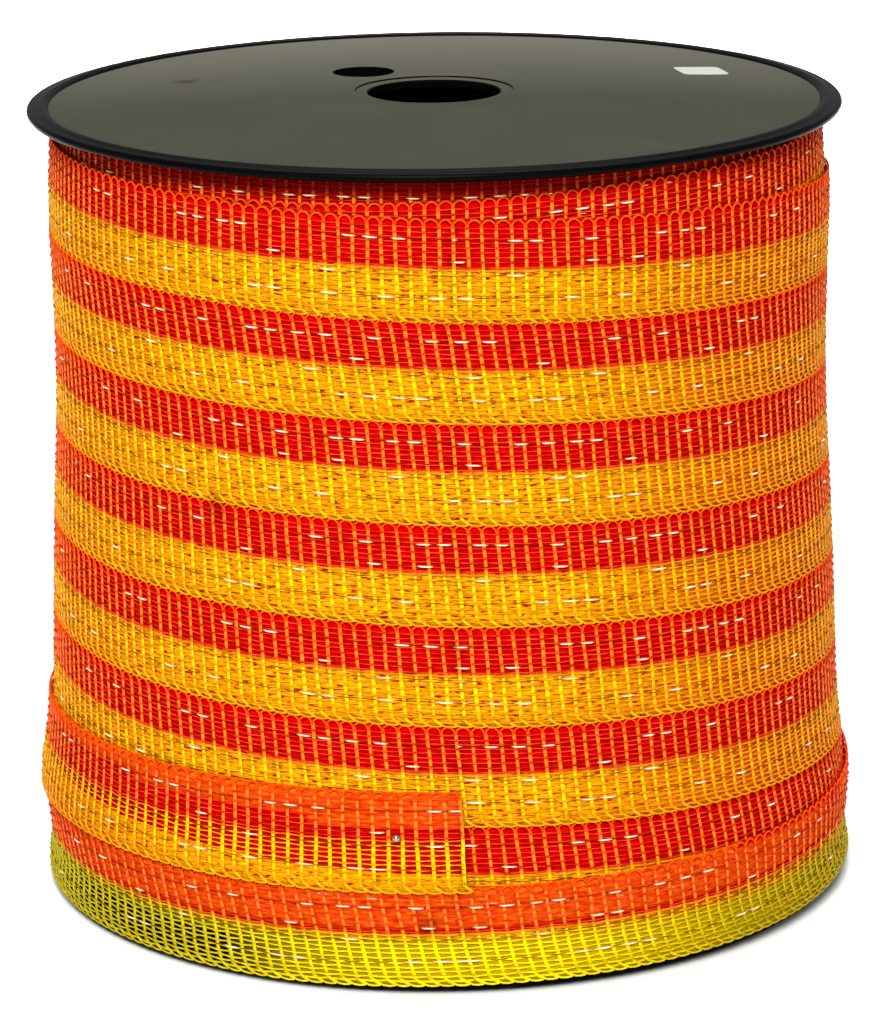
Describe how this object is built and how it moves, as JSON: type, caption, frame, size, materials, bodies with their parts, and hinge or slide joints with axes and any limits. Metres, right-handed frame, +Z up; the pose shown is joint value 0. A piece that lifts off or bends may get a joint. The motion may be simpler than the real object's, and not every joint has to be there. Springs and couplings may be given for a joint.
{
  "type": "electric fence tape",
  "caption": "Woven electric fence tape, half orange and half yellow, wound full on a flanged black plastic spool that stands on end.",
  "frame": {"origin": "on the floor, at the middle of the spool's foot", "axes": "+Z up along the spool's axis, -Y towards the viewer in the picture, with the tape's free end at the front"},
  "size_m": [0.1634, 0.1642, 0.1587],
  "materials": {
    "black_plastic": "moulded polypropylene, satin, with a bright rounded rim",
    "core_plastic": "moulded polypropylene, plain",
    "woven_tape": "open polyethylene weave, orange upper half and yellow lower half, with fine steel conductors",
    "pin_steel": "polished ball head",
    "sticker_paper": "matte, bare"
  },
  "bodies": {
    "root": {"bottom_flange": "black_plastic", "top_flange": "black_plastic", "core_tube": "core_plastic", "tape_roll": "woven_tape", "end_pin": "pin_steel", "label_sticker": "sticker_paper"}
  },
  "joints": []
}
